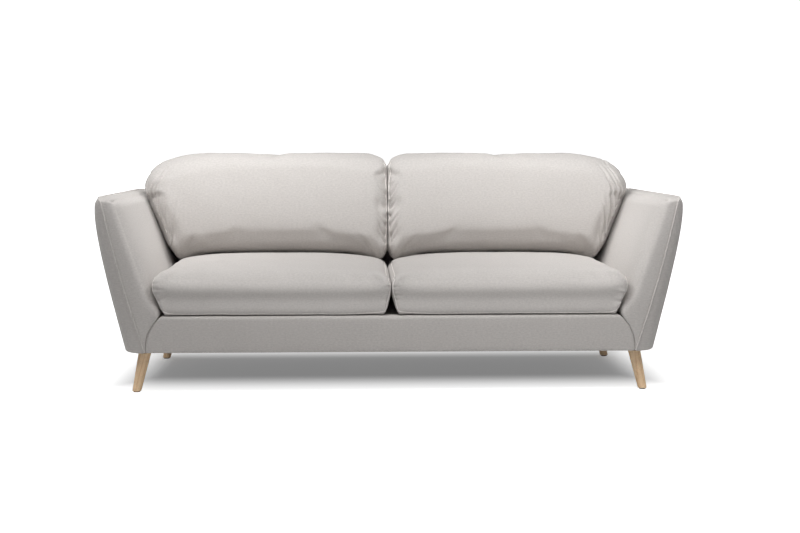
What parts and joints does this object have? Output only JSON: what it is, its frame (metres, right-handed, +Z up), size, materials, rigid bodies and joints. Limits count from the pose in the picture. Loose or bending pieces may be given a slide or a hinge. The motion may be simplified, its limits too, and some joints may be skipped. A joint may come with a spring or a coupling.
{
  "type": "sofa",
  "caption": "Upholstered sofa with flared shell arms, loose seat and back cushions with zipped covers, piped arm edges and splayed turned wooden legs.",
  "frame": {"origin": "on the floor, under the centre of the sofa's bounding box", "axes": "+X to the right as seen by someone facing the front of the sofa, +Y towards the back, +Z up"},
  "size_m": [2.124, 0.93, 0.85],
  "materials": {
    "upholstery": "warm light-grey plain-weave polyester upholstery fabric",
    "seat_foam": "open-cell polyurethane upholstery foam",
    "back_fill": "hollow-fibre back cushion filling in an inner case",
    "frame_timber": "planed softwood and plywood, unfinished",
    "side_board": "bent hardboard side lining",
    "oak": "clear-oiled natural oak, satin",
    "spring_steel": "phosphated spring wire",
    "zinc_steel": "zinc-plated steel",
    "webbing": "woven elastic upholstery webbing",
    "lining": "black spun-bonded lining cloth",
    "deck_lining": "woven grey deck cloth",
    "glide_plastic": "nailed nylon glide",
    "zip_tape": "woven zip tape with a nylon coil",
    "zip_metal": "plated zinc zip slider"
  },
  "bodies": {
    "frame": {"arm_front_board_left": "frame_timber", "arm_front_board_right": "frame_timber", "arm_front_foam_left": "seat_foam", "arm_front_foam_right": "seat_foam", "arm_inner_cover_left": "upholstery", "arm_inner_cover_right": "upholstery", "arm_inner_foam_left": "seat_foam", "arm_inner_foam_right": "seat_foam", "arm_outer_cover_left": "upholstery", "arm_outer_cover_right": "upholstery", "arm_rear_board_left": "frame_timber", "arm_rear_board_right": "frame_timber", "arm_side_panel_left": "side_board", "arm_side_panel_right": "side_board", "arm_top_board_left": "frame_timber", "arm_top_board_right": "frame_timber", "back_foam": "seat_foam", "back_inner_cover": "upholstery", "back_outer_cover": "upholstery", "back_posts": "frame_timber", "back_straps": "webbing", "back_top_rail": "frame_timber", "centre_rail": "frame_timber", "corner_blocks": "frame_timber", "deck_cloth": "deck_lining", "dust_cover": "lining", "front_rail": "frame_timber", "front_rail_cover": "upholstery", "front_rail_foam": "seat_foam", "hanger_bolts": "zinc_steel", "leg_front_left": "oak", "leg_front_right": "oak", "leg_glides": "glide_plastic", "leg_plates": "zinc_steel", "leg_rear_left": "oak", "leg_rear_right": "oak", "rear_rail": "frame_timber", "seat_springs_left": "spring_steel", "seat_springs_right": "spring_steel", "shell_piping": "upholstery", "side_rail_left": "frame_timber", "side_rail_right": "frame_timber", "spring_clips": "zinc_steel"},
    "seat_cushion_left": {"seat_cushion_cover_left": "upholstery", "seat_cushion_foam_left": "seat_foam", "seat_cushion_zip_tape_left": "zip_tape"},
    "seat_zip_left": {"seat_cushion_zip_slider_left": "zip_metal"},
    "back_cushion_left": {"back_cushion_cover_left": "upholstery", "back_cushion_fill_left": "back_fill", "back_cushion_zip_tape_left": "zip_tape"},
    "back_zip_left": {"back_cushion_zip_slider_left": "zip_metal"},
    "seat_cushion_right": {"seat_cushion_cover_right": "upholstery", "seat_cushion_foam_right": "seat_foam", "seat_cushion_zip_tape_right": "zip_tape"},
    "seat_zip_right": {"seat_cushion_zip_slider_right": "zip_metal"},
    "back_cushion_right": {"back_cushion_cover_right": "upholstery", "back_cushion_fill_right": "back_fill", "back_cushion_zip_tape_right": "zip_tape"},
    "back_zip_right": {"back_cushion_zip_slider_right": "zip_metal"}
  },
  "joints": [
    {"name": "seat_cushion_left_pull", "type": "slide", "parent": "frame", "child": "seat_cushion_left", "axis": [0, -1, 0], "range_m": [0, 0.85]},
    {"name": "seat_zip_left_run", "type": "slide", "parent": "seat_cushion_left", "child": "seat_zip_left", "axis": [1, 0, 0], "range_m": [0, 0.63]},
    {"name": "back_cushion_left_lift", "type": "slide", "parent": "frame", "child": "back_cushion_left", "axis": [0, 0, 1], "range_m": [0, 0.45]},
    {"name": "back_zip_left_run", "type": "slide", "parent": "back_cushion_left", "child": "back_zip_left", "axis": [1, 0, 0], "range_m": [0, 0.63]},
    {"name": "seat_cushion_right_pull", "type": "slide", "parent": "frame", "child": "seat_cushion_right", "axis": [0, -1, 0], "range_m": [0, 0.85]},
    {"name": "seat_zip_right_run", "type": "slide", "parent": "seat_cushion_right", "child": "seat_zip_right", "axis": [-1, 0, 0], "range_m": [0, 0.63]},
    {"name": "back_cushion_right_lift", "type": "slide", "parent": "frame", "child": "back_cushion_right", "axis": [0, 0, 1], "range_m": [0, 0.45]},
    {"name": "back_zip_right_run", "type": "slide", "parent": "back_cushion_right", "child": "back_zip_right", "axis": [-1, 0, 0], "range_m": [0, 0.63]}
  ]
}
